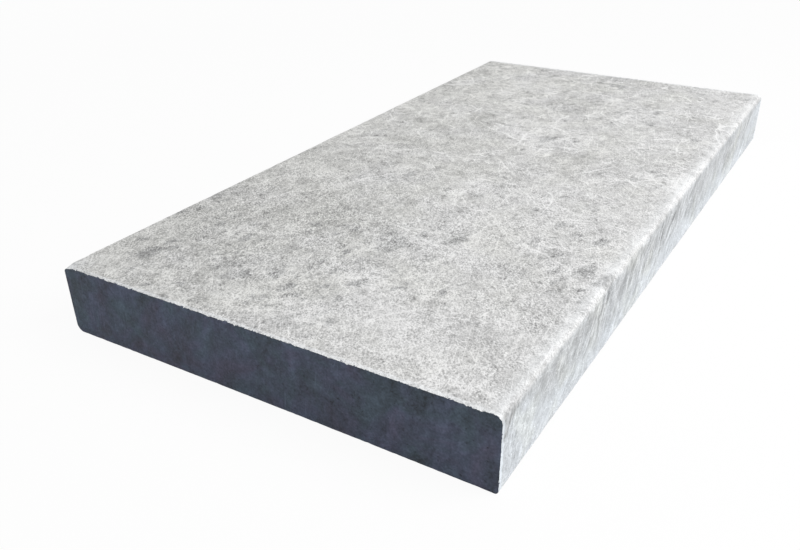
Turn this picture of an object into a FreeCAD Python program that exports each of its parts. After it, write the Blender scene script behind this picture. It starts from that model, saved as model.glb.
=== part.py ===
"""Wall coping stone: one slab of blue limestone with worn long edges, sawn square at both ends.

Frame: +X across the wall, +Y along the wall, +Z up. The origin is the middle of the bed face.
All sizes are in millimetres.
"""

import os

import FreeCAD
import Part

# Overall sizes of the slab
LENGTH = 800.0  # along the wall, from one sawn end to the other
WIDTH = 400.0  # across the wall, over both long sides
THICKNESS = 62.0  # from the bed face to the weathered top

# Radius that tumbling has worn on each long edge, seen on the sawn end at -Y
TOP_LEFT_RADIUS = 3.0
TOP_RIGHT_RADIUS = 6.0
BED_RIGHT_RADIUS = 3.0
BED_LEFT_RADIUS = 7.0

PARTS_FOLDER = "parts"


def section_corners():
    """The section's square corners, each with its worn radius, anticlockwise seen from -Y."""
    left, right = -WIDTH / 2, WIDTH / 2
    end = -LENGTH / 2
    return [
        (FreeCAD.Vector(left, end, 0), BED_LEFT_RADIUS),
        (FreeCAD.Vector(right, end, 0), BED_RIGHT_RADIUS),
        (FreeCAD.Vector(right, end, THICKNESS), TOP_RIGHT_RADIUS),
        (FreeCAD.Vector(left, end, THICKNESS), TOP_LEFT_RADIUS),
    ]


def unit(start, finish):
    """The direction from one point to another."""
    direction = finish - start
    return direction.normalize()


def worn_arc(previous, corner, following, radius):
    """The quarter arc that replaces a square corner, tangent to the two faces that meet there."""
    back = unit(corner, previous)
    ahead = unit(corner, following)
    centre = corner + (back + ahead) * radius
    crown = centre + unit(centre, corner) * radius
    return Part.Arc(corner + back * radius, crown, corner + ahead * radius)


def section_face():
    """The slab's section on the sawn end: four flats joined by the four worn arcs."""
    corners = section_corners()
    count = len(corners)
    arcs = []
    for index, (corner, radius) in enumerate(corners):
        previous = corners[index - 1][0]
        following = corners[(index + 1) % count][0]
        arcs.append(worn_arc(previous, corner, following, radius))
    edges = []
    for index, arc in enumerate(arcs):
        next_arc = arcs[(index + 1) % count]
        edges.append(arc.toShape())
        edges.append(Part.LineSegment(arc.EndPoint, next_arc.StartPoint).toShape())
    return Part.Face(Part.Wire(edges))


def coping_stone():
    """The section carried along the wall from end to end."""
    return section_face().extrude(FreeCAD.Vector(0, LENGTH, 0))


def main():
    os.makedirs(PARTS_FOLDER, exist_ok=True)
    stone = coping_stone()
    stone.exportStep(os.path.join(PARTS_FOLDER, "coping_stone.step"))
    print("valid", stone.isValid(), "volume", round(stone.Volume / 1e6, 3), "litres")


main()
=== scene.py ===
"""Wall coping stone, dressed: a limestone slab bruised pale by tumbling and sawn dark at both ends.

The part's frame: +X across the wall, +Y along it, +Z up, origin in the middle of the bed.
The slab's mesh is worked out in millimetres and turned into metres when it is made.
"""

import math
import random
from types import SimpleNamespace

import bpy
import numpy as np
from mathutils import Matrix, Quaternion, Vector, geometry, noise


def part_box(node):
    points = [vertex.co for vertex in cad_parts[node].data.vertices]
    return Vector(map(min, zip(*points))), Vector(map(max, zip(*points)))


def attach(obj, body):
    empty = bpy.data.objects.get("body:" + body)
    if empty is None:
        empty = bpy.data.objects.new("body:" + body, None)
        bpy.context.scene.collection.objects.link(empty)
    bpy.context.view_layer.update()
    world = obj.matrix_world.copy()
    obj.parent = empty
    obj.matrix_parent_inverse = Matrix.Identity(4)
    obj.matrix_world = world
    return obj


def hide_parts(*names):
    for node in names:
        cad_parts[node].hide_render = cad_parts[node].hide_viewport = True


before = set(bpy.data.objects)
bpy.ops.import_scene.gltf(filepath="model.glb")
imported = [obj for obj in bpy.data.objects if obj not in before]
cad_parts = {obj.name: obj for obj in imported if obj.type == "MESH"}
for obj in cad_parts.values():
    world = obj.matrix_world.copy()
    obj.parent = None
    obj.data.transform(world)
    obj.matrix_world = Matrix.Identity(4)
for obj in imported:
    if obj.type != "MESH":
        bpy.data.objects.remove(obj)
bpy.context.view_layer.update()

MM = 0.001
TINY = 1e-6
NODE = "coping_stone"
PIECE = "coping_stone_dressed"
BODY = "root"
UP = np.array([0.0, 0.0, 1.0])
RIGHT = np.array([1.0, 0.0, 0.0])

# The solid's box in mm, and the worn radius of each of its long edges, seen from the near end
LOW, HIGH = (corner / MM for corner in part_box(NODE))
TOP_LEFT_RADIUS = 3.0
TOP_RIGHT_RADIUS = 6.0
BED_RIGHT_RADIUS = 3.0
BED_LEFT_RADIUS = 7.0

# How far the worn slab's faces fall short of square, in mm
TOP_CROWN = 0.15
BED_HOLLOW = 0.9
LEFT_BATTER = 1.2
RIGHT_BATTER = 0.7

# Mesh spacing in mm: the faces that show are finer than the bed, and the rings by an end are finest.
# Each ring by an end has its distance from the end and how many times finer than the others it is.
# Round a worn edge it is a number of steps, and an end's own points keep a margin clear inside its rim.
TOP_STEP = 3.2
SIDE_STEP = 2.6
BED_STEP = 14.0
STATION_STEP = 3.0
FIRST_STATION_STEP = 0.7 * STATION_STEP
ARC_STEPS = 6
END_RINGS = ((0.0, 6), (0.4, 6), (0.9, 6), (1.6, 6), (2.6, 3), (3.8, 3), (5.4, 3))
CAP_STEP = 4.0
CAP_MARGIN = 3.0

# The turn in degrees from which two faces of the mesh meet in a sharp edge
SHARP_ANGLE = 55

# The map that the finish is baked to: the share of its width that is left free on each side, then, as shares
# of its height from its foot, a row for both ends, a strip for the bed, and a strip for the right side, the
# top and the left side in turn
MAP_NAME = "OFBake"
MAP_EDGE = 0.004
END_ROWS = (0.004, 0.080)
BED_ROWS = (0.088, 0.336)
SKIN_ROWS = (0.344, 0.996)

# Noises that shape the skin, each with the size of its lumps in mm, its octaves and its seed,
# and how far one seed's noise is moved from the last one's
WAVES = (120, 2, 1)
DENTS = (14, 3, 2)
PITS = (7, 2, 3)
EDGE_WEAR = (30, 2, 4)
SAW_TEARS = (2.0, 2, 5)
SEED_SHIFT = Vector((31.7, 17.3, 7.9))

# What is worn off all over, by each noise and along the edges, in mm deep, and the level above which a pit
# starts. Then how far edge wear and saw tears reach in mm, and how places are squeezed for edge wear,
# so that it changes along the edge more than across it.
SKIN_DEPTH = 0.05
WAVE_DEPTH = 0.08
DENT_DEPTH = 0.08
PIT_DEPTH = 0.35
PIT_LEVEL = 0.3
EDGE_DEPTH = 0.05
EDGE_WEAR_DEPTH = 0.2
EDGE_REACH = 6.0
EDGE_SQUEEZE = np.array([0.2, 1.0, 0.2])
TEAR_DEPTH = 0.25
TEAR_REACH = 1.2

# Chips along the rims of the sawn ends, by kind: how many on a metre, half widths and depths in mm.
# Each reaches along the wall by some times its half width, and the top rim's stop short of its right corner.
TOP_RIM_CHIPS = ((160, (0.5, 1.4), (0.1, 1.2)), (60, (2.5, 7.0), (0.03, 0.12)))
OTHER_RIM_CHIPS = ((150, (0.5, 1.2), (0.05, 0.18)),)
RIM_CHIP_REACH = (0.8, 1.6)
RIM_CHIPS_STOP = 14.0
CHIP_SEED = 11

# Knocks along the long edges: how many on a top edge or a bed edge, and the deepest there.
# The rest is for all of them, in mm: the least depth, half widths, and reaches along the wall.
TOP_EDGE_CHIPS = (40, 0.3)
BED_EDGE_CHIPS = (24, 0.15)
EDGE_CHIP_LEAST = 0.1
EDGE_CHIP_WIDTHS = (4.0, 8.0)
EDGE_CHIP_REACHES = (3.0, 11.0)

# The larger knocks on the near end's top rim, in mm: half width, reach along the wall and depth
LEFT_CORNER_KNOCK = (14.0, 9.0, 2.4)
RIGHT_CORNER_KNOCK = (6.0, 10.0, 0.4)
DIP = (8.0, 8.0, 0.8)
DIP_FROM_RIGHT = 18.0
NOTCHES_FROM_LEFT = {28.0: (3.0, 2.5, 0.6), 160.0: (3.5, 2.5, 0.6)}

# How far up or down a face looks, from 0 to 1, once it no longer counts as a side
FLAT_FACING = 0.85

# The whiter worn rim on the right of the top: its width in mm, and the shares of it that are lost as it turns
# down and by the far end
RIM_WIDTH = 11.5
RIM_LOST_TURNING = 0.85
RIM_LOST_FAR = 0.3

# The white arris round an end, in mm: how far from the end its middle lies, and its widths on the left and on
# the right. Then how far from the end the dark flakes reach.
ARRIS_MIDDLE = 1.8
ARRIS_WIDTHS = (1.8, 2.1)
NICK_REACH = 2.6

# The whiter chips: the depth in mm at which one is white, and the whitest that one gets. Then the patch by
# the near end's knocked left corner: how far in its centre lies and how far it reaches, in mm, and how
# white it is.
CHIP_WHITE_DEPTH = 0.5
CHIP_WHITEST = 1.5
KNOCKED_INSET = 8.0
KNOCKED_REACH = (14.0, 12.0)
KNOCKED_WHITE = 0.6

# Where the sides are paler: by the ends, within a reach in mm, from the first share of the way down and
# wholly from the second, and high up a little less by the far end
END_PALING = 0.9
END_PALING_REACH = 50.0
END_PALING_DROPS = (0.05, 0.15)
FAR_GREYING = 0.05

# The greyer streak of painted shade on the right side by the near end, just under the top's right rim, in mm:
# the heights at which it starts, is whole and is widest, then the distance of its middle from the end and its
# width, each at its foot and where it is widest. It is only on faces that look further to the right than the
# last of these, from 0 to 1.
RIM_SHADE_FOOT = 40.0
RIM_SHADE_WHOLE = 44.0
RIM_SHADE_WIDEST = 56.0
RIM_SHADE_MIDDLES = (3.0, 12.0)
RIM_SHADE_WIDTHS = (2.5, 7.5)
RIM_SHADE_FACING = 0.7

# Patches on the plan where the blows missed and where dabs crowd: strength, centre and reach in mm
MISSED_PATCHES = (
    (1.0, (-120, -200), (110, 95)),
    (1.0, (-160, -150), (50, 60)),
    (-0.4, (-120, -380), (120, 50)),
    (-0.8, (-140, 130), (120, 230)),
    (-0.8, (125, -345), (80, 80)),
)
CROWD_PATCHES = (
    (1.0, (-60, -300), (130, 85)),
    (0.4, (150, -210), (50, 90)),
    (-0.8, (-170, 130), (120, 230)),
    (-0.8, (125, -345), (80, 80)),
)

# How calm the pattern is half way along the slab, and how hollow a plain place and a dent count in the
# painted shade that draws the dents and pits darker and the rises lighter
CALM_MIDDLE = 0.65
HOLLOW_PLAIN = 0.5
HOLLOW_DENT = 0.8

# Colours of the finishes, and the tints that the tumbled one is multiplied by
TOP_COLOUR = (0.605, 0.605, 0.598, 1)
FLANK_COLOURS = (
    (0.0, (0.463, 0.477, 0.487)),
    (0.15, (0.497, 0.51, 0.516)),
    (0.32, (0.495, 0.509, 0.517)),
    (0.55, (0.52, 0.539, 0.551)),
    (0.78, (0.612, 0.642, 0.666)),
)
SAWN_COLOURS = (
    (0.34, (0.0725, 0.0738, 0.1135)),
    (0.48, (0.066, 0.078, 0.117)),
    (0.62, (0.061, 0.0833, 0.1105)),
)
FLAKE_COLOUR = (0.068, 0.079, 0.115, 1)
WARM_TINT = (1.0, 1.0, 0.987, 1)
COOL_TINT = (0.997, 0.996, 1.006, 1)
DAB_TINT = (0.985, 0.992, 1.01, 1)
FLANK_TINT = (1.005, 1.0, 0.975, 1)
STRUCK_TINT = (0.972, 0.988, 1.012, 1)

# The way in which the tumbled grain is drawn out, in degrees, and the sets of scratches: their width in mm,
# then the turn in degrees and the length in mm of each set, lying on the top and bed or upright on the sides
BRUSHED_TURN = (0, 0, 120)
LYING_WIDTH = 1.1
LYING_SETS = ((0, 12), (25, 10), (50, 14), (75, 20), (95, 60), (108, 50), (130, 26), (160, 16))
UPRIGHT_WIDTH = 1.5
UPRIGHT_SETS = ((10, 14), (-20, 22), (-38, 26), (-56, 24), (75, 16))

# Studio light and floor, in metres and watts: the strength of the light from all round, the lamp, how much of
# the floor by the slab shows as plain white, and how far off it starts to whiten and is all white
FILL = 0.52
KEY_PLACE = Vector((1.1, 0.1, 1.15))
KEY_AIM = Vector((0, 0, 0))
KEY_SIZE = 1.0
KEY_POWER = 17.0
FLOOR_SPAN = 30.0
FLOOR_COLOUR = (0.9, 0.9, 0.9, 1)
FLOOR_GLOW = 0.94
FLOOR_WHITENS = (1.0, 4.0)

# The camera at the photograph's viewing angle: places in metres, roll in degrees, lens in mm
CAMERA_PLACE = Vector((0.36106, -0.77572, 0.37457))
CAMERA_AIM = Vector((0.0499, -0.27444, 0.062))
CAMERA_ROLL = -0.827
CAMERA_LENS = 37.5066
CAMERA_NEAREST = 0.01


# Small helpers

def at_share(share, ends):
    """The number at a share of the way from one end to the other."""
    return ends[0] + share * (ends[1] - ends[0])


def climb(values, low, high):
    """A straight climb from 0 at the low value to 1 at the high one, and level past them."""
    return np.clip((values - low) / (high - low), 0, 1)


def falloff(gap, reach):
    """A soft fall from 1 where there is no gap to nearly 0 at twice the reach."""
    return np.exp(-((gap / reach) ** 2))


def aslant(first, second):
    """The way half between two ways that are square to each other."""
    return (first + second) * math.sqrt(0.5)


def new_object(name, data):
    """A new object in the scene, for a mesh, a lamp or a camera."""
    item = bpy.data.objects.new(name, data)
    bpy.context.scene.collection.objects.link(item)
    return item


# The slab's skin, ring by ring

def section_corners():
    """Centre, radius and first angle of each worn corner arc, anticlockwise from the bed's left."""
    return [
        (LOW.x + BED_LEFT_RADIUS, LOW.z + BED_LEFT_RADIUS, BED_LEFT_RADIUS, 180),
        (HIGH.x - BED_RIGHT_RADIUS, LOW.z + BED_RIGHT_RADIUS, BED_RIGHT_RADIUS, 270),
        (HIGH.x - TOP_RIGHT_RADIUS, HIGH.z - TOP_RIGHT_RADIUS, TOP_RIGHT_RADIUS, 0),
        (LOW.x + TOP_LEFT_RADIUS, HIGH.z - TOP_LEFT_RADIUS, TOP_LEFT_RADIUS, 90),
    ]


def section_loop(refine):
    """Points round the section with their outward normals, each row x, z, normal x, normal z."""
    arcs = []
    for x, z, radius, first in section_corners():
        angles = np.radians(first + np.linspace(0, 90, ARC_STEPS * refine + 1))
        out = np.column_stack([np.cos(angles), np.sin(angles)])
        arcs.append(np.column_stack([np.array([x, z]) + radius * out, out]))
    rows = []
    for index, step in enumerate((BED_STEP, SIDE_STEP, TOP_STEP, SIDE_STEP)):
        arc, following = arcs[index], arcs[(index + 1) % len(arcs)]
        run = np.hypot(*(following[0, :2] - arc[-1, :2]))
        steps = round(run / step) * refine
        share = np.linspace(0, 1, steps + 1)[1:-1, None]
        rows += [arc, arc[-1] + share * (following[0] - arc[-1])]
    return np.vstack(rows)


def way_round(loop):
    """How far round the section each of its points lies, from 0 at the bed's left to 1 back there."""
    steps = np.hypot(*(np.roll(loop[:, :2], -1, axis=0) - loop[:, :2]).T)
    return (np.cumsum(steps) - steps) / steps.sum()


def stations():
    """Places along the wall where the section is repeated, each with how much finer its ring is."""
    inset = END_RINGS[-1][0] + FIRST_STATION_STEP
    first, last = LOW.y + inset, HIGH.y - inset
    middle = np.linspace(first, last, round((last - first) / STATION_STEP) + 1)
    near = [(LOW.y + offset, refine) for offset, refine in END_RINGS]
    far = [(HIGH.y - offset, refine) for offset, refine in reversed(END_RINGS)]
    return near + [(y, 1) for y in middle] + far


def bridge(first, second):
    """Faces that join two rings of point numbers, of which one may be finer than the other."""
    count = min(len(first), len(second))
    finer_first, finer_second = len(first) // count, len(second) // count
    faces = []
    for index in range(count):
        start, other = index * finer_first, index * finer_second
        back = [first[(start + k) % len(first)] for k in range(finer_first, -1, -1)]
        ahead = [second[(other + k) % len(second)] for k in range(finer_second + 1)]
        faces.append(back + ahead)
    return faces


def slab_skin():
    """Unworn points and normals of the slab's skin, their way round, its faces, and the ring at each end."""
    loops = {refine: section_loop(refine) for refine in {1} | {refine for _, refine in END_RINGS}}
    points, normals, ways, rings, faces = [], [], [], [], []
    total = 0
    for y, refine in stations():
        loop = loops[refine]
        points.append(np.column_stack([loop[:, 0], np.full(len(loop), y), loop[:, 1]]))
        normals.append(np.column_stack([loop[:, 2], np.zeros(len(loop)), loop[:, 3]]))
        ways.append(way_round(loop))
        rings.append(range(total, total + len(loop)))
        total += len(loop)
    for first, second in zip(rings, rings[1:]):
        faces += bridge(first, second)
    return np.vstack(points), np.vstack(normals), np.concatenate(ways), faces, rings[0], rings[-1]


# What tumbling, sawing and handling have worn off the skin, in mm

def lumps(points, size, octaves, seed):
    """Smooth noise about zero, one value a point, whose largest lumps are size mm across."""
    shift = SEED_SHIFT * seed
    return np.array([noise.fractal(Vector(point) / size + shift, 1.0, 2.0, octaves) for point in points])


def edge_places():
    """The four square long edges as places on the section, in the order of the section's corners."""
    return (LOW.x, LOW.z), (HIGH.x, LOW.z), (HIGH.x, HIGH.z), (LOW.x, HIGH.z)


def end_gap(points):
    """Distance of each point from the nearer sawn end."""
    return np.minimum(points[:, 1] - LOW.y, HIGH.y - points[:, 1])


def share_down(points):
    """How far down from the top each point lies, from 0 there to 1 at the bed."""
    return (HIGH.z - points[:, 2]) / (HIGH.z - LOW.z)


def out_of_square(points, normals):
    """Depth that the slightly crowned top, hollow bed and battered sides lie inside the square slab."""
    across = 2 * points[:, 0] / (HIGH.x - LOW.x)
    facing = {"right": normals[:, 0], "left": -normals[:, 0], "top": normals[:, 2], "bed": -normals[:, 2]}
    facing = {name: np.clip(share, 0, 1) for name, share in facing.items()}
    return (
        facing["top"] * TOP_CROWN * across**2
        + facing["bed"] * BED_HOLLOW * (1 - across**2)
        + (facing["left"] * LEFT_BATTER + facing["right"] * RIGHT_BATTER) * share_down(points)
    )


def relief(points):
    """Depth of the waves, dents, pits, worn edges and saw tears, and the dents and pits by themselves."""
    dents = lumps(points, *DENTS)
    pits = np.clip(lumps(points, *PITS) - PIT_LEVEL, 0, None)
    depth = SKIN_DEPTH + WAVE_DEPTH * lumps(points, *WAVES) + DENT_DEPTH * dents + PIT_DEPTH * pits
    wear = lumps(points * EDGE_SQUEEZE, *EDGE_WEAR)
    for x, z in edge_places():
        gap = np.hypot(points[:, 0] - x, points[:, 2] - z)
        depth += falloff(gap, EDGE_REACH) * (EDGE_DEPTH + EDGE_WEAR_DEPTH * wear)
    tears = np.clip(lumps(points, *SAW_TEARS), 0, None)
    depth += TEAR_DEPTH * tears * falloff(end_gap(points), TEAR_REACH)
    return np.clip(depth, 0, None), dents, pits


def mostly_low(rng, low, high):
    """A random number between two others, more often near the lower one."""
    return low + (high - low) * rng.random() ** 2


def rim_chips(rng, start, finish, kinds):
    """Chips scattered along a straight rim: centre, half width, half reach along Y and depth of each."""
    chips = []
    for per_metre, widths, depths in kinds:
        for _ in range(round(per_metre * np.linalg.norm(finish - start) * MM)):
            centre = start + rng.random() * (finish - start)
            width = rng.uniform(*widths)
            reach = width * rng.uniform(*RIM_CHIP_REACH)
            chips.append((centre, width, reach, mostly_low(rng, *depths)))
    return chips


def end_chips(rng, y):
    """The chips round one sawn end, each list with the way that its chips cut in."""
    bed_left, bed_right, top_right, top_left = (np.array([x, y, z]) for x, z in edge_places())
    return [
        (rim_chips(rng, top_left, top_right - RIM_CHIPS_STOP * RIGHT, TOP_RIM_CHIPS), -UP),
        (rim_chips(rng, bed_left, bed_right, OTHER_RIM_CHIPS), UP),
        (rim_chips(rng, bed_left, top_left, OTHER_RIM_CHIPS), RIGHT),
        (rim_chips(rng, bed_right, top_right, OTHER_RIM_CHIPS), -RIGHT),
    ]


def edge_chips(rng):
    """Knocks along the four long edges, which cut in aslant."""
    groups = []
    for x, inward in ((LOW.x, RIGHT), (HIGH.x, -RIGHT)):
        for z, down, (count, deepest) in ((HIGH.z, -UP, TOP_EDGE_CHIPS), (LOW.z, UP, BED_EDGE_CHIPS)):
            chips = []
            for _ in range(count):
                centre = np.array([x, rng.uniform(LOW.y, HIGH.y), z])
                reach = mostly_low(rng, *EDGE_CHIP_REACHES)
                width = rng.uniform(*EDGE_CHIP_WIDTHS)
                chips.append((centre, width, reach, rng.uniform(EDGE_CHIP_LEAST, deepest)))
            groups.append((chips, aslant(inward, down)))
    return groups


def large_chips():
    """The larger knocks on the near end's top rim: its corners, a dip by the right one and two notches."""
    knocks = {LOW.x: LEFT_CORNER_KNOCK, HIGH.x - DIP_FROM_RIGHT: DIP}
    for from_left, size in NOTCHES_FROM_LEFT.items():
        knocks[LOW.x + from_left] = size
    chips = [(np.array([x, LOW.y, HIGH.z]), *size) for x, size in knocks.items()]
    right_corner = [(np.array([HIGH.x, LOW.y, HIGH.z]), *RIGHT_CORNER_KNOCK)]
    return [(chips, -UP), (right_corner, aslant(-RIGHT, -UP))]


def carved(points, chips):
    """Depth of the deepest chip at each point, each a shallow cone."""
    depth = np.zeros(len(points))
    for centre, width, length, deep in chips:
        near = np.flatnonzero(np.abs(points[:, 1] - centre[1]) < length)
        gap = (points[near] - centre) / np.array([width, length, width])
        depth[near] = np.maximum(depth[near], deep * np.clip(1 - np.linalg.norm(gap, axis=1), 0, None))
    return depth


def chipped(points):
    """How far the chips move each point, and the depth of the deepest one there."""
    rng = random.Random(CHIP_SEED)
    shift = np.zeros_like(points)
    deepest = np.zeros(len(points))
    for chips, inward in end_chips(rng, LOW.y) + end_chips(rng, HIGH.y) + edge_chips(rng) + large_chips():
        depth = carved(points, chips)
        shift += inward * depth[:, None]
        deepest = np.maximum(deepest, depth)
    return shift, deepest


# The fields along the skin that the stone's colour follows

def lobe(x, y, centre, reach):
    """A soft round patch on the slab's plan, 1 at its centre."""
    return falloff(x - centre[0], reach[0]) * falloff(y - centre[1], reach[1])


def patches(x, y, rows):
    """Several soft patches on the plan added up, each with its strength."""
    return sum(strength * lobe(x, y, centre, reach) for strength, centre, reach in rows)


def painted_rim_shade_streak(from_near, height):
    """The greyer streak of painted shade by the near end, which leans away from the end and widens as it
    rises.
    """
    share = climb(height, RIM_SHADE_FOOT, RIM_SHADE_WIDEST)
    streak = falloff(from_near - at_share(share, RIM_SHADE_MIDDLES), at_share(share, RIM_SHADE_WIDTHS))
    return streak * climb(height, RIM_SHADE_FOOT, RIM_SHADE_WHOLE)


def skin_fields(points, normals, dents, pits, chip):
    """One number a point for each mark: where it was struck, worn or missed, where shade is painted, and
    where it lies.
    """
    x, y, z = points.T
    facing_right, _, facing_up = normals.T
    from_end = end_gap(points)
    drop = share_down(points)
    along = y / HIGH.y
    across = (x - LOW.x) / (HIGH.x - LOW.x)
    side = np.clip(1 - np.abs(facing_up) / FLAT_FACING, 0, 1)
    # Painted shade: a greyer streak under the top's right rim by the near end, which the whitening marks stay
    # out of
    painted_rim_shade = painted_rim_shade_streak(y - LOW.y, z - LOW.z) * (facing_right > RIM_SHADE_FACING)
    clear_of_rim_shade = 1 - painted_rim_shade
    by_end = falloff(from_end, END_PALING_REACH) * climb(drop, *END_PALING_DROPS)
    corner = (LOW.x + KNOCKED_INSET, LOW.y + KNOCKED_INSET)
    knocked = lobe(x, y, corner, KNOCKED_REACH) * (facing_up > 0)
    rim = falloff(HIGH.x - x, RIM_WIDTH) * (1 - side) * (facing_up > 0)
    return {
        "chip": (np.clip(chip / CHIP_WHITE_DEPTH, 0, CHIP_WHITEST) + KNOCKED_WHITE * knocked) * clear_of_rim_shade,
        "rim": rim * (1 - RIM_LOST_TURNING * facing_right) * (1 - RIM_LOST_FAR * along),
        "arris": falloff(from_end - ARRIS_MIDDLE, at_share(across, ARRIS_WIDTHS)) * clear_of_rim_shade,
        "nick": 1 - climb(from_end, 0, NICK_REACH),
        "side": side,
        "painted_rim_shade": painted_rim_shade,
        "low": drop + END_PALING * by_end * clear_of_rim_shade - FAR_GREYING * along * (1 - drop),
        "missed": patches(x, y, MISSED_PATCHES),
        "crowd": patches(x, y, CROWD_PATCHES),
        "calm": np.clip(CALM_MIDDLE + along, 0, 1),
        "warm": 1 - across,
        # Painted shade: how hollow each point lies, so that dents and pits are drawn darker and rises lighter
        "hollow": np.clip(HOLLOW_PLAIN + HOLLOW_DENT * dents + pits, 0, 1),
    }


def worn(points, normals):
    """The worn points, and the fields along the skin."""
    depth, dents, pits = relief(points)
    depth += out_of_square(points, normals)
    shift, chip = chipped(points)
    return points - normals * depth[:, None] + shift, skin_fields(points, normals, dents, pits, chip)


# The sawn ends

def cap_points(outline):
    """A staggered grid of points inside an end's outline, clear of its rim."""
    low, high = outline.min(axis=0) + CAP_MARGIN, outline.max(axis=0) - CAP_MARGIN
    rows = round((high[1] - low[1]) / CAP_STEP)
    columns = round((high[0] - low[0]) / CAP_STEP)
    pitch = (high - low) / np.array([columns, rows])
    grid = []
    for row in range(rows + 1):
        shift = 0.5 * (row % 2)
        for column in range(columns + 1 - row % 2):
            grid.append(low + pitch * np.array([column + shift, row]))
    return np.array(grid)


def cap(points, ring, first_new):
    """The flat sawn face inside a ring: its new points and its triangles, facing -Y."""
    outline = points[list(ring)][:, [0, 2]]
    inner = cap_points(outline)
    flat = [Vector(place) for place in np.vstack([outline, inner])]
    count = len(outline)
    edges = [(index, (index + 1) % count) for index in range(count)]
    inside_only = 1
    _, _, triangles, sources, _, _ = geometry.delaunay_2d_cdt(flat, edges, [], inside_only, TINY)
    owners = list(ring) + list(range(first_new, first_new + len(inner)))
    faces = [[owners[sources[corner][0]] for corner in triangle] for triangle in triangles]
    y = points[ring[0], 1]
    return np.column_stack([inner[:, 0], np.full(len(inner), y), inner[:, 1]]), faces


# The slab as one mesh

def add_field(mesh, name, values):
    """Stores one number a point on the mesh, for the material to read."""
    layer = mesh.attributes.new(name, "FLOAT", "POINT")
    layer.data.foreach_set("value", values.astype(np.float32))


def numbers(items, name):
    """One whole number from each of a mesh's items, as an array."""
    values = np.empty(len(items), int)
    items.foreach_get(name, values)
    return values


def add_map(mesh, points, ways):
    """Lays the slab out flat for baking, with the bed cut off along its right edge and its left one."""
    loop = section_loop(1)
    bed_end = way_round(loop)[np.argmax(loop[:, 0] - loop[:, 1])]
    starts = numbers(mesh.polygons, "loop_start")
    face = np.repeat(np.arange(len(starts)), numbers(mesh.polygons, "loop_total"))
    corner = numbers(mesh.loops, "vertex_index")
    on_end = numbers(mesh.polygons, "material_index")[face] == 1
    x, y, z = ((points[corner] - np.array(LOW)) / np.array(HIGH - LOW)).T
    way = ways[corner]
    # A face that closes the ring ends at 1, not back at 0
    way = np.where(np.maximum.reduceat(way, starts)[face] - way > 0.5, way + 1, way)
    on_bed = np.maximum.reduceat(way, starts)[face] < bed_end + TINY
    bed_row = at_share(way / bed_end, BED_ROWS)
    skin_row = np.where(on_bed, bed_row, at_share((way - bed_end) / (1 - bed_end), SKIN_ROWS))
    # The two ends lie side by side in their row, the near one first
    end_column = np.where(y < 0.5, 0.5 * x, 1 - 0.5 * x)
    columns = at_share(np.where(on_end, end_column, y), (MAP_EDGE, 1 - MAP_EDGE))
    rows = np.where(on_end, at_share(z, END_ROWS), skin_row)
    layer = mesh.uv_layers.new(name=MAP_NAME)
    layer.uv.foreach_set("vector", np.column_stack([columns, rows]).astype(np.float32).ravel())


def coping_stone(finishes):
    """The whole slab as one closed mesh, with the tumbled finish on its skin and the sawn one on its ends."""
    points, normals, ways, faces, near_ring, far_ring = slab_skin()
    points, fields = worn(points, normals)
    near_points, near_faces = cap(points, near_ring, len(points))
    far_points, far_faces = cap(points, far_ring, len(points) + len(near_points))
    far_faces = [face[::-1] for face in far_faces]
    every_point = np.vstack([points, near_points, far_points])
    mesh = bpy.data.meshes.new(PIECE)
    mesh.from_pydata((every_point * MM).tolist(), [], faces + near_faces + far_faces)
    for finish in finishes:
        mesh.materials.append(finish)
    sawn_faces = len(near_faces) + len(far_faces)
    mesh.polygons.foreach_set("material_index", [0] * len(faces) + [1] * sawn_faces)
    blank = np.zeros(len(near_points) + len(far_points))
    for name, values in fields.items():
        add_field(mesh, name, np.concatenate([values, blank]))
    add_map(mesh, every_point, np.concatenate([ways, blank]))
    mesh.shade_smooth()
    mesh.set_sharp_from_angle(angle=math.radians(SHARP_ANGLE))
    return new_object(PIECE, mesh)


# Finishes

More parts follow.
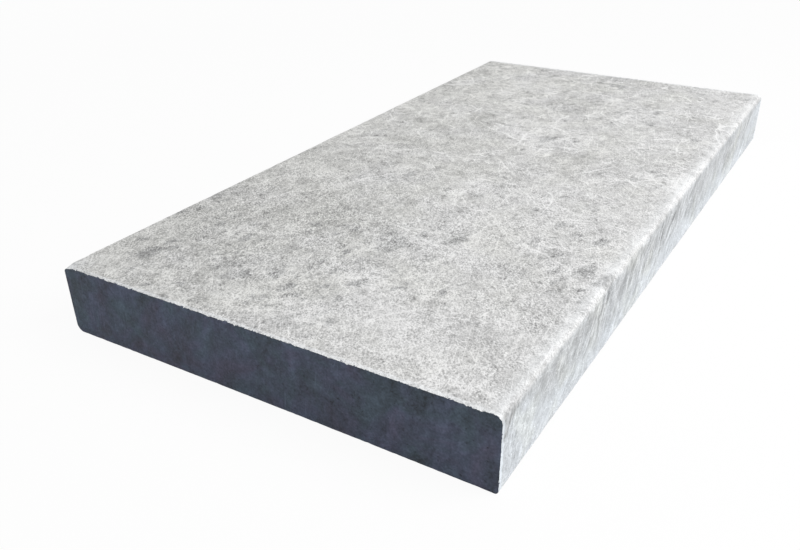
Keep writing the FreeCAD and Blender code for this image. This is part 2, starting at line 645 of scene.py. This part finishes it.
class Finish:
    """A material's node tree, with short calls for the nodes that the stone's finishes use."""

    def __init__(self, name):
        self.material = bpy.data.materials.new(name)
        self.material.use_nodes = True
        self.tree = self.material.node_tree
        self.shader = self.tree.nodes["Principled BSDF"]
        self.place = self.add("ShaderNodeTexCoord").outputs["Object"]

    def add(self, kind, **settings):
        """A new node with its settings made."""
        node = self.tree.nodes.new(kind)
        for name, value in settings.items():
            setattr(node, name, value)
        return node

    def feed(self, socket, value):
        """Links a socket to another node's output, or sets it to a plain value."""
        if isinstance(value, bpy.types.NodeSocket):
            self.tree.links.new(value, socket)
        else:
            socket.default_value = value

    def field(self, name):
        """One of the numbers that the mesh holds at each point."""
        return self.add("ShaderNodeAttribute", attribute_name=name).outputs["Fac"]

    def drawn_out(self, stretch, turn=(0, 0, 0), place=None):
        """Coordinates in which a pattern is drawn out along three axes, which are turned by some degrees."""
        node = self.add("ShaderNodeMapping", vector_type="TEXTURE")
        self.feed(node.inputs["Vector"], place or self.place)
        node.inputs["Rotation"].default_value = [math.radians(angle) for angle in turn]
        node.inputs["Scale"].default_value = stretch
        return node.outputs["Vector"]

    def vector(self, operation, first, second):
        """One sum on vectors."""
        node = self.add("ShaderNodeVectorMath", operation=operation)
        self.feed(node.inputs[0], first)
        self.feed(node.inputs[1], second)
        return node.outputs["Vector"]

    def noise(self, size, detail=2.0, roughness=0.5, distortion=0.0, place=None, output="Fac"):
        """Noise about 0.5 whose lumps are size mm across."""
        node = self.add("ShaderNodeTexNoise")
        self.feed(node.inputs["Vector"], place or self.place)
        for name, value in (
            ("Scale", 1 / (size * MM)),
            ("Detail", detail),
            ("Roughness", roughness),
            ("Distortion", distortion),
        ):
            node.inputs[name].default_value = value
        return node.outputs[output]

    def warped(self, size, amount, place=None):
        """Coordinates pushed about by up to some mm, in lumps size mm across."""
        push = self.vector("SUBTRACT", self.noise(size, 2.0, output="Color"), (0.5, 0.5, 0.5))
        return self.vector("ADD", place or self.place, self.vector("MULTIPLY", push, (2 * amount * MM,) * 3))

    def cracks(self, size, width, place):
        """Lines width mm wide along the borders of cells size mm across."""
        node = self.add("ShaderNodeTexVoronoi", feature="DISTANCE_TO_EDGE")
        self.feed(node.inputs["Vector"], place)
        node.inputs["Scale"].default_value = 1 / (size * MM)
        return self.fade(node.outputs["Distance"], 0.0, width / size, 1.0, 0.0)

    def dabs(self, size, largest, crowd, place):
        """Dabs up to largest mm in radius, at most one to a cell of size mm, more where the crowd is high."""
        node = self.add("ShaderNodeTexVoronoi", voronoi_dimensions="2D")
        self.feed(node.inputs["Vector"], place)
        node.inputs["Scale"].default_value = 1 / (size * MM)
        own = self.add("ShaderNodeSeparateColor")
        self.feed(own.inputs["Color"], node.outputs["Color"])
        reach = self.fade(self.math("ADD", own.outputs["Red"], crowd), 0.65, 1.12, 0.0, largest / size)
        inside = self.fade(self.above(reach, node.outputs["Distance"]), 0.0, 0.5 * largest / size)
        return self.product(inside, self.fade(own.outputs["Green"], 0.0, 1.0, 0.3, 1.0))

    def hairlines(self, size, width, distortion, place=None):
        """Thin wandering lines where a noise crosses its middle level."""
        level = self.noise(size, 3.0, 0.55, distortion, place)
        return self.fade(self.math("ABSOLUTE", self.above(level)), 0.0, width, 1.0, 0.0)

    def strokes(self, width, stretch, turn):
        """Sparse straight scratches of a width in mm, drawn out along turned axes."""
        return self.fade(self.noise(width, 1.0, 0.5, 0.0, self.drawn_out(stretch, turn)), 0.62, 0.72)

    def math(self, operation, first, second=0.0):
        """One sum on numbers or outputs."""
        node = self.add("ShaderNodeMath", operation=operation)
        self.feed(node.inputs[0], first)
        self.feed(node.inputs[1], second)
        return node.outputs[0]

    def above(self, level, middle=0.5):
        """How far a level is above its middle, or above another level."""
        return self.math("SUBTRACT", level, middle)

    def product(self, first, *others):
        """Several levels multiplied."""
        for other in others:
            first = self.math("MULTIPLY", first, other)
        return first

    def most(self, first, *others):
        """The highest of several levels."""
        for other in others:
            first = self.math("MAXIMUM", first, other)
        return first

    def between(self, share, first, second):
        """A level that goes from the first to the second as the share goes from 0 to 1."""
        return self.math("ADD", first, self.product(share, self.above(second, first)))

    def clip(self, value, low, high):
        """A number kept between two others."""
        return self.math("MINIMUM", self.math("MAXIMUM", value, low), high)

    def fade(self, value, low, high, start=0.0, finish=1.0):
        """A smooth step from start to finish as the value goes from low to high."""
        node = self.add("ShaderNodeMapRange", interpolation_type="SMOOTHSTEP")
        self.feed(node.inputs["Value"], value)
        for name, number in (("From Min", low), ("From Max", high), ("To Min", start), ("To Max", finish)):
            node.inputs[name].default_value = number
        return node.outputs["Result"]

    def total(self, base, terms):
        """A base number with each term added: an output, how much of it, and the level taken as none."""
        level = base
        for output, amount, none in terms:
            level = self.math("ADD", level, self.product(self.above(output, none), amount))
        return level

    def ramp(self, value, stops):
        """Colours along a number."""
        node = self.add("ShaderNodeValToRGB")
        self.feed(node.inputs["Fac"], value)
        elements = node.color_ramp.elements
        while len(elements) < len(stops):
            elements.new(0.5)
        for element, (place, colour) in zip(elements, stops):
            element.position = place
            element.color = (*colour, 1)
        return node.outputs["Color"]

    def grey(self, level):
        """A number as a grey colour."""
        node = self.add("ShaderNodeCombineColor")
        for socket in node.inputs[:3]:
            self.feed(socket, level)
        return node.outputs["Color"]

    def mix(self, amount, first, second, kind="MIX"):
        """Two colours mixed by an amount."""
        node = self.add("ShaderNodeMix", data_type="RGBA", blend_type=kind)
        self.feed(node.inputs[0], amount)
        self.feed(node.inputs[6], first)
        self.feed(node.inputs[7], second)
        return node.outputs[2]

    def times(self, first, second):
        """Two colours multiplied."""
        return self.mix(1.0, first, second, "MULTIPLY")

    def bump(self, heights):
        """One bump on another, from pairs of a height and its depth in mm."""
        below = None
        for height, deep in heights:
            node = self.add("ShaderNodeBump")
            node.inputs["Strength"].default_value = 1.0
            node.inputs["Distance"].default_value = deep * MM
            self.feed(node.inputs["Height"], height)
            if below is not None:
                self.feed(node.inputs["Normal"], below)
            below = node.outputs["Normal"]
        self.feed(self.shader.inputs["Normal"], below)


def scratches(finish, side):
    """Straight white scratches: every way on the top and bed, nearly upright on the sides."""
    lying = [
        finish.strokes(LYING_WIDTH, (length / LYING_WIDTH, 1, 1), (0, 0, turn)) for turn, length in LYING_SETS
    ]
    upright = [
        finish.strokes(UPRIGHT_WIDTH, (1, 1, length / UPRIGHT_WIDTH), (turn, 0, 0))
        for turn, length in UPRIGHT_SETS
    ]
    return finish.between(side, finish.most(*lying), finish.most(*upright))


def combed(finish):
    """Parallel rubs on parts of the sides, lighter and darker by turns, leaning along the wall."""
    leaning = finish.noise(4.6, 2.0, 0.5, 0.6, finish.drawn_out((1, 1, 4), (-52, 0, 0)))
    steeper = finish.noise(3.8, 2.0, 0.5, 0.6, finish.drawn_out((1, 1, 4), (-16, 0, 0)))
    rubs = finish.between(finish.fade(finish.noise(45, 1.0), 0.42, 0.58), leaning, steeper)
    patchy = finish.fade(finish.noise(70, 2.0), 0.4, 0.6, 0.7, 1.5)
    return finish.product(patchy, finish.above(rubs))


def bruises(finish, brushed):
    """White bruise marks: fine broken threads, and a network of short and long veins."""
    broken = finish.fade(finish.noise(10, 2.0), 0.4, 0.6)
    sparse = finish.fade(finish.noise(32, 2.0, 0.5, 0.5), 0.46, 0.6)
    patchy = finish.fade(finish.noise(60, 2.0, 0.5, 0.5), 0.45, 0.58)
    threads = finish.most(
        *(finish.hairlines(size, width, 1.2, brushed) for size, width in ((4, 0.06), (7, 0.04), (13, 0.025)))
    )
    short_veins = finish.product(finish.cracks(42, 1.6, finish.warped(25, 9)), sparse)
    long_veins = finish.product(finish.cracks(100, 2.2, finish.warped(60, 16)), patchy)
    return finish.product(threads, broken), finish.most(short_veins, long_veins)


def blotches(finish, calm):
    """Grey dabs that the blows missed, of three sizes, in loose clusters where they crowd."""
    clusters = finish.noise(75, 2.0)
    crowd = finish.total(0.0, [(clusters, 1.2, 0.5), (finish.field("crowd"), 0.42, 0.0), (calm, -0.1, 0.0)])
    leaning = finish.drawn_out((1.8, 1, 1), (0, 0, 64), finish.warped(16, 9))
    large = finish.dabs(26, 11, crowd, finish.warped(5, 4.5, leaning))
    middling = finish.dabs(13, 5.5, crowd, finish.warped(5, 4, leaning))
    small = finish.dabs(9, 3.6, crowd, finish.warped(2, 1.2, finish.warped(8, 5)))
    return finish.most(large, finish.product(middling, 0.9), finish.product(small, 0.7))


def flecks(finish):
    """Small marks with crisp edges, in loose patches: the dark ones and the light ones."""
    patchy = finish.fade(finish.noise(55, 2.0), 0.4, 0.6, 0.35, 1.0)
    dark = finish.fade(finish.noise(9, 4.0, 0.66, 0.3), 0.37, 0.42, 1.0, 0.0)
    light = finish.fade(finish.noise(7, 4.0, 0.66, 0.3), 0.6, 0.65)
    return finish.product(patchy, dark), finish.product(patchy, light)


def tumbled_levels(finish):
    """The fields and patterns that the tumbled finish is mixed from, by name."""
    names = ("rim", "side", "chip", "arris", "calm", "missed", "warm")
    level = SimpleNamespace(**{name: finish.field(name) for name in names})
    brushed = finish.drawn_out((1.6, 1, 1), BRUSHED_TURN)
    level.grain = finish.noise(1.5, 2.0, 0.7, 0.0, finish.drawn_out((1.35, 1, 1), BRUSHED_TURN))
    level.coarse = finish.noise(3.8, 3.0, 0.62, 0.3, brushed)
    level.mottle = finish.noise(9.0, 3.0, 0.6, 0.3, brushed)
    level.low = finish.total(finish.field("low"), [(finish.noise(110, 2.0), 0.55, 0.5)])
    level.dabs = blotches(finish, level.calm)
    level.threads, level.veins = bruises(finish, brushed)
    band = finish.total(level.arris, [(level.mottle, 0.9, 0.5), (level.coarse, 0.5, 0.5)])
    level.struck = finish.most(level.chip, finish.product(finish.fade(band, 0.32, 0.55), 0.9))
    level.on_top = finish.above(1.0, level.side)
    return level


def tumbled_shares(finish, level):
    """How strongly each kind of pattern shows from place to place, by name."""
    side, rim, calm = level.side, level.rim, level.calm
    share = SimpleNamespace()
    share.even = finish.total(1.0, [(side, -0.5, 0.0)])
    share.softened = finish.total(1.0, [(side, -0.6, 0.0), (rim, -0.5, 0.0)])
    share.crisp = finish.product(level.on_top, finish.total(0.8, [(calm, 0.2, 0.0), (rim, -0.6, 0.0)]))
    share.veined = finish.product(level.on_top, finish.total(0.8, [(calm, 0.6, 0.0), (rim, -0.9, 0.0)]))
    lower = finish.product(side, finish.fade(level.low, 0.45, 0.7))
    share.worked = finish.total(1.0, [(lower, -0.5, 0.0)])
    share.rubbed = finish.product(side, share.worked, finish.total(1.1, [(calm, -0.1, 0.0)]))
    patchy = finish.fade(finish.noise(30, 2.0), 0.35, 0.65, 0.7, 1.25)
    share.lively = finish.product(
        finish.total(patchy, [(level.dabs, 0.1, 0.0), (level.missed, 0.2, 0.0)]),
        finish.total(1.0, [(side, -0.65, 0.0), (rim, -0.6, 0.0), (calm, -0.46, 0.0)]),
        finish.total(1.0, [(level.struck, -0.35, 0.0)]),
    )
    calm_side = finish.product(side, calm)
    calm_left = finish.product(calm, finish.above(level.warm))
    share.broad = finish.total(
        0.9, [(calm, 0.27, 0.2), (side, -0.65, 0.0), (calm_side, 0.5, 0.0), (calm_left, 0.9, 0.0)]
    )
    return share


def tumbled_tone(finish, level):
    """How light the tumbled stone is: about 1, with each pattern added where it shows."""
    share = tumbled_shares(finish, level)
    dark_flecks, light_flecks = flecks(finish)
    specks = finish.fade(finish.noise(2.4, 1.0), 0.67, 0.77)
    return finish.total(
        1.0,
        [
            (finish.product(share.even, finish.above(finish.noise(100, 2.0))), 0.45, 0.0),
            (finish.product(share.broad, finish.above(finish.noise(38, 2.0))), 0.5, 0.0),
            (finish.product(share.broad, finish.above(finish.noise(18, 2.0))), 0.36, 0.0),
            (finish.product(level.on_top, finish.above(level.dabs, 0.09)), -0.41, 0.0),
            (finish.product(share.rubbed, combed(finish)), 1.35, 0.0),
            (finish.product(share.crisp, dark_flecks), -0.34, 0.05),
            (finish.product(share.crisp, light_flecks), 0.26, 0.05),
            (level.missed, -0.075, 0.0),
            # Painted shade: greyer in the streak under the top's right rim by the near end
            (finish.field("painted_rim_shade"), -0.36, 0.0),
            (finish.product(share.lively, finish.above(level.grain)), 2.15, 0.0),
            (finish.product(share.softened, finish.above(level.coarse)), 0.66, 0.0),
            (finish.product(share.broad, finish.above(level.mottle)), 0.27, 0.0),
            (level.threads, 0.21, 0.17),
            (finish.product(share.veined, level.veins), 0.28, 0.06),
            (finish.product(share.worked, finish.above(scratches(finish, level.side), 0.25)), 0.3, 0.0),
            (specks, 0.55, 0.025),
            # Painted shade and light of the relief: darker in the dents and pits, lighter on the rises
            (finish.field("hollow"), -0.14, 0.5),
            (finish.product(level.rim, finish.fade(level.mottle, 0.3, 0.65, 0.82, 1.14)), 0.27, 0.0),
            (level.struck, 0.28, 0.0),
        ],
    )


def tumbled_tint(finish, level):
    """The stone's slight tints: warmer or cooler in patches, bluish in the dabs and where it was struck."""
    coolness = finish.total(finish.noise(60, 2.0), [(level.warm, -0.3, 0.5)])
    yellowed = finish.product(level.side, finish.fade(finish.noise(35, 2.0), 0.5, 0.68))
    tint = finish.mix(finish.fade(coolness, 0.3, 0.7), WARM_TINT, COOL_TINT)
    tint = finish.mix(finish.product(level.dabs, 0.7), tint, DAB_TINT)
    tint = finish.mix(yellowed, tint, FLANK_TINT)
    return finish.mix(finish.most(level.struck, finish.product(level.rim, 0.8)), tint, STRUCK_TINT)


def tumbled_colour(finish, level, tone):
    """The top's grey and the sides', paler low down and by the ends, with dark flakes in the ends' rims."""
    flanked = finish.fade(finish.total(level.side, [(level.mottle, 0.9, 0.5)]), 0.1, 0.95)
    stone = finish.mix(flanked, TOP_COLOUR, finish.ramp(level.low, FLANK_COLOURS))
    plain = finish.times(stone, tumbled_tint(finish, level))
    colour = finish.times(plain, finish.grey(finish.clip(tone, 0.35, 1.5)))
    ragged = [(finish.noise(1.7, 2.0), 3.0, 0.5), (finish.noise(9, 1.0), 1.2, 0.5)]
    flaked = finish.fade(finish.total(finish.field("nick"), ragged), 1.05, 1.2)
    return finish.mix(flaked, colour, FLAKE_COLOUR)


def tumbled():
    """Limestone bruised pale all over by tumbling, greyer where the blows missed, whitest on its edges."""
    finish = Finish("limestone_tumbled")
    level = tumbled_levels(finish)
    tone = tumbled_tone(finish, level)
    finish.feed(finish.shader.inputs["Base Color"], tumbled_colour(finish, level, tone))
    finish.feed(finish.shader.inputs["Roughness"], finish.fade(tone, 0.5, 1.5, 0.68, 0.88))
    finish.shader.inputs["Specular IOR Level"].default_value = 0.3
    finish.bump([(level.coarse, 0.6), (level.grain, 0.4)])
    return finish.material


def sawn():
    """The stone's own dark blue-grey inside, smooth from the saw, clouded and finely pitted."""
    finish = Finish("limestone_sawn")
    cloud = finish.noise(22, 4.0, 0.6, 0.4, finish.drawn_out((1.5, 1, 1), (0, -60, 0)))
    hue = finish.noise(34, 3.0, 0.55, 0.8)
    mottle = finish.noise(7, 3.0, 0.6, 0.5)
    grain = finish.noise(1.8, 2.0, 0.6)
    streaks = finish.noise(9, 2.0, 0.6, 0.0, finish.drawn_out((1, 1, 8)))
    wisps = finish.product(finish.hairlines(30, 0.03, 1.5), finish.fade(mottle, 0.45, 0.6))
    pits = finish.fade(finish.noise(2.8, 1.0), 0.25, 0.3, 1.0, 0.0)
    pocks = finish.fade(finish.noise(3.2, 2.0), 0.36, 0.46, 1.0, 0.0)
    pocked = finish.product(pocks, finish.fade(finish.noise(40, 1.0), 0.52, 0.64))
    strokes = finish.strokes(1.2, (1, 1, 22), (0, 4, 0))
    scuffs = finish.product(strokes, finish.fade(finish.noise(50, 1.0), 0.45, 0.6))
    tone = finish.total(
        1.0,
        [
            (cloud, 2.1, 0.5),
            (mottle, 1.15, 0.5),
            (streaks, 0.35, 0.5),
            (grain, 1.15, 0.5),
            (wisps, 0.2, 0.0),
            (scuffs, 0.3, 0.0),
            (pits, -0.4, 0.0),
            (pocked, -0.24, 0.0),
        ],
    )
    colour = finish.times(finish.ramp(hue, SAWN_COLOURS), finish.grey(finish.clip(tone, 0.3, 1.8)))
    finish.feed(finish.shader.inputs["Base Color"], colour)
    finish.feed(finish.shader.inputs["Roughness"], finish.fade(cloud, 0.3, 0.7, 0.55, 0.7))
    finish.shader.inputs["Specular IOR Level"].default_value = 0.25
    finish.bump([(streaks, 0.1), (grain, 0.1), (pits, -0.25)])
    return finish.material


# Studio and camera

def seen_straight(tree):
    """One for rays that show a surface as it is seen, by eye or in a mirror or through glass, else zero."""
    path = tree.nodes.new("ShaderNodeLightPath")
    level = path.outputs["Is Camera Ray"]
    for name in ("Is Glossy Ray", "Is Transmission Ray"):
        node = tree.nodes.new("ShaderNodeMath")
        node.operation = "MAXIMUM"
        tree.links.new(level, node.inputs[0])
        tree.links.new(path.outputs[name], node.inputs[1])
        level = node.outputs[0]
    return level


def studio_world():
    """Even white light from all round, seen as plain white."""
    world = bpy.data.worlds.new("studio")
    world.use_nodes = True
    tree = world.node_tree
    strength = tree.nodes.new("ShaderNodeMapRange")
    strength.inputs["To Min"].default_value = FILL
    strength.inputs["To Max"].default_value = 1.0
    tree.links.new(seen_straight(tree), strength.inputs["Value"])
    background = tree.nodes["Background"]
    background.inputs["Color"].default_value = (1, 1, 1, 1)
    tree.links.new(strength.outputs["Result"], background.inputs["Strength"])
    bpy.context.scene.world = world


def floor_glow(tree):
    """How much of the floor shows as plain white where it is seen: most by the slab, and all far from it."""
    away = tree.nodes.new("ShaderNodeVectorMath")
    away.operation = "LENGTH"
    tree.links.new(tree.nodes.new("ShaderNodeTexCoord").outputs["Object"], away.inputs[0])
    whitening = tree.nodes.new("ShaderNodeMapRange")
    start, end = FLOOR_WHITENS
    for name, value in (("From Min", start), ("From Max", end), ("To Min", FLOOR_GLOW)):
        whitening.inputs[name].default_value = value
    tree.links.new(away.outputs["Value"], whitening.inputs["Value"])
    share = tree.nodes.new("ShaderNodeMapRange")
    tree.links.new(seen_straight(tree), share.inputs["Value"])
    tree.links.new(whitening.outputs["Result"], share.inputs["To Max"])
    return share.outputs["Result"]


def mixed_shader(tree, share, first, second):
    """A shader that goes from the first to the second as the share goes from 0 to 1."""
    node = tree.nodes.new("ShaderNodeMixShader")
    for socket, output in zip(node.inputs, (share, first, second)):
        tree.links.new(output, socket)
    return node.outputs[0]


def floor_white():
    """White that keeps the slab's shadow and can be looked through from below."""
    material = bpy.data.materials.new("floor_white")
    material.use_nodes = True
    tree = material.node_tree
    tree.nodes.clear()
    diffuse = tree.nodes.new("ShaderNodeBsdfDiffuse")
    diffuse.inputs["Color"].default_value = FLOOR_COLOUR
    glow = tree.nodes.new("ShaderNodeEmission")
    clear = tree.nodes.new("ShaderNodeBsdfTransparent")
    below = tree.nodes.new("ShaderNodeNewGeometry").outputs["Backfacing"]
    lit = mixed_shader(tree, floor_glow(tree), diffuse.outputs[0], glow.outputs[0])
    output = tree.nodes.new("ShaderNodeOutputMaterial")
    tree.links.new(mixed_shader(tree, below, lit, clear.outputs[0]), output.inputs["Surface"])
    return material


def studio_floor():
    """A wide white floor under the slab."""
    half = FLOOR_SPAN / 2
    z = LOW.z * MM
    corners = [(-half, -half, z), (half, -half, z), (half, half, z), (-half, half, z)]
    mesh = bpy.data.meshes.new("floor")
    mesh.from_pydata(corners, [], [(0, 1, 2, 3)])
    mesh.materials.append(floor_white())
    floor = new_object("floor", mesh)


def aim(item, place, target, roll=0.0):
    """Stands a lamp or a camera at a place, facing a target, rolled by some degrees."""
    item.location = place
    item.rotation_mode = "QUATERNION"
    facing = (target - place).to_track_quat("-Z", "Y")
    item.rotation_quaternion = facing @ Quaternion((0, 0, 1), math.radians(roll))


def key_light():
    """One large soft lamp above and to the right of the slab."""
    lamp = bpy.data.lights.new("key", "AREA")
    lamp.size = KEY_SIZE
    lamp.energy = KEY_POWER
    aim(new_object("key", lamp), KEY_PLACE, KEY_AIM)


def photo_camera():
    """The camera at the photograph's viewing angle."""
    data = bpy.data.cameras.new("photo")
    data.lens = CAMERA_LENS
    data.clip_start = CAMERA_NEAREST
    camera = new_object("photo", data)
    aim(camera, CAMERA_PLACE, CAMERA_AIM, CAMERA_ROLL)
    bpy.context.scene.camera = camera


def main():
    """Builds the slab and the studio round it."""
    stone = coping_stone([tumbled(), sawn()])
    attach(stone, BODY)
    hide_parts(NODE)
    studio_world()
    studio_floor()
    key_light()
    photo_camera()
    bpy.context.scene.view_settings.view_transform = "Standard"


main()
